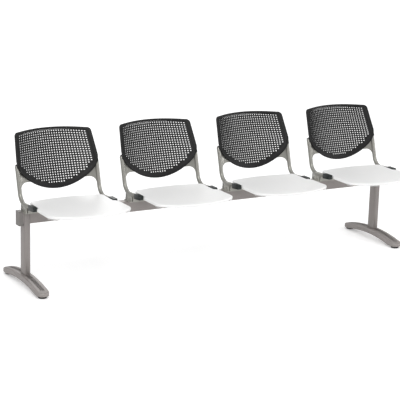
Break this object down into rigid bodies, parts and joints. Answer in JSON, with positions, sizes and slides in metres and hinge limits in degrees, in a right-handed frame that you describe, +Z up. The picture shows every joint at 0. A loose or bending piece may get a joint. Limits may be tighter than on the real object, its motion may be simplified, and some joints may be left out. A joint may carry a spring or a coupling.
{
  "type": "beam seating",
  "caption": "Row of moulded chairs with perforated backs on one steel beam with T-shaped legs and levelling glides.",
  "frame": {"origin": "on the floor under the middle of the row's outer box", "axes": "+Z up, +X along the beam to the viewer's right, the seats face -Y"},
  "size_m": [2.31, 0.6676, 0.7916],
  "materials": {
    "back_plastic": "charcoal moulded plastic with a fine grain",
    "seat_plastic": "white moulded plastic with a fine grain",
    "cap_plastic": "near-black moulded plastic",
    "frame_paint": "grey powder coat",
    "bracket_paint": "grey powder coat",
    "beam_paint": "taupe metallic powder coat",
    "end_plastic": "taupe moulded plastic",
    "foot_paint": "taupe metallic powder coat",
    "glide_plastic": "black moulded plastic",
    "bolt_steel": "blackened steel"
  },
  "bodies": {
    "frame": {"back_shell_1": "back_plastic", "back_shell_2": "back_plastic", "back_shell_3": "back_plastic", "back_shell_4": "back_plastic", "beam": "beam_paint", "carrier_1": "bracket_paint", "carrier_2": "bracket_paint", "carrier_3": "bracket_paint", "carrier_4": "bracket_paint", "column_left": "beam_paint", "column_right": "beam_paint", "cross_bar_1": "bracket_paint", "cross_bar_2": "bracket_paint", "cross_bar_3": "bracket_paint", "cross_bar_4": "bracket_paint", "end_block_left": "end_plastic", "end_block_right": "end_plastic", "foot_left": "foot_paint", "foot_right": "foot_paint", "leg_bolts": "bolt_steel", "nut_plate_left": "bolt_steel", "nut_plate_right": "bolt_steel", "rail_cap_left_1": "cap_plastic", "rail_cap_left_2": "cap_plastic", "rail_cap_left_3": "cap_plastic", "rail_cap_left_4": "cap_plastic", "rail_cap_right_1": "cap_plastic", "rail_cap_right_2": "cap_plastic", "rail_cap_right_3": "cap_plastic", "rail_cap_right_4": "cap_plastic", "seat_shell_1": "seat_plastic", "seat_shell_2": "seat_plastic", "seat_shell_3": "seat_plastic", "seat_shell_4": "seat_plastic", "side_frame_left_1": "frame_paint", "side_frame_left_2": "frame_paint", "side_frame_left_3": "frame_paint", "side_frame_left_4": "frame_paint", "side_frame_right_1": "frame_paint", "side_frame_right_2": "frame_paint", "side_frame_right_3": "frame_paint", "side_frame_right_4": "frame_paint", "stays": "bolt_steel"},
    "glide_left_front": {"glide_pad_left_front": "glide_plastic"},
    "stem_left_front": {"glide_stem_left_front": "bolt_steel"},
    "glide_left_rear": {"glide_pad_left_rear": "glide_plastic"},
    "stem_left_rear": {"glide_stem_left_rear": "bolt_steel"},
    "glide_right_front": {"glide_pad_right_front": "glide_plastic"},
    "stem_right_front": {"glide_stem_right_front": "bolt_steel"},
    "glide_right_rear": {"glide_pad_right_rear": "glide_plastic"},
    "stem_right_rear": {"glide_stem_right_rear": "bolt_steel"}
  },
  "joints": [
    {"name": "glide_left_front_level", "type": "slide", "parent": "frame", "child": "glide_left_front", "axis": [0, 0, -1], "range_m": [0, 0.01]},
    {"name": "stem_left_front_turn", "type": "hinge", "parent": "glide_left_front", "child": "stem_left_front", "pos_m": [-1.112, -0.152, 0], "axis": [0, 0, -1], "range_deg": [0, 2880.1]},
    {"name": "glide_left_rear_level", "type": "slide", "parent": "frame", "child": "glide_left_rear", "axis": [0, 0, -1], "range_m": [0, 0.01]},
    {"name": "stem_left_rear_turn", "type": "hinge", "parent": "glide_left_rear", "child": "stem_left_rear", "pos_m": [-1.112, 0.3, 0], "axis": [0, 0, -1], "range_deg": [0, 2880.1]},
    {"name": "glide_right_front_level", "type": "slide", "parent": "frame", "child": "glide_right_front", "axis": [0, 0, -1], "range_m": [0, 0.01]},
    {"name": "stem_right_front_turn", "type": "hinge", "parent": "glide_right_front", "child": "stem_right_front", "pos_m": [1.112, -0.152, 0], "axis": [0, 0, -1], "range_deg": [0, 2880.1]},
    {"name": "glide_right_rear_level", "type": "slide", "parent": "frame", "child": "glide_right_rear", "axis": [0, 0, -1], "range_m": [0, 0.01]},
    {"name": "stem_right_rear_turn", "type": "hinge", "parent": "glide_right_rear", "child": "stem_right_rear", "pos_m": [1.112, 0.3, 0], "axis": [0, 0, -1], "range_deg": [0, 2880.1]}
  ],
  "couplings": [
    {"joint": "stem_left_front_turn", "follows": "glide_left_front_level", "rad_per_m": 5026.5},
    {"joint": "stem_left_rear_turn", "follows": "glide_left_rear_level", "rad_per_m": 5026.5},
    {"joint": "stem_right_front_turn", "follows": "glide_right_front_level", "rad_per_m": 5026.5},
    {"joint": "stem_right_rear_turn", "follows": "glide_right_rear_level", "rad_per_m": 5026.5}
  ]
}
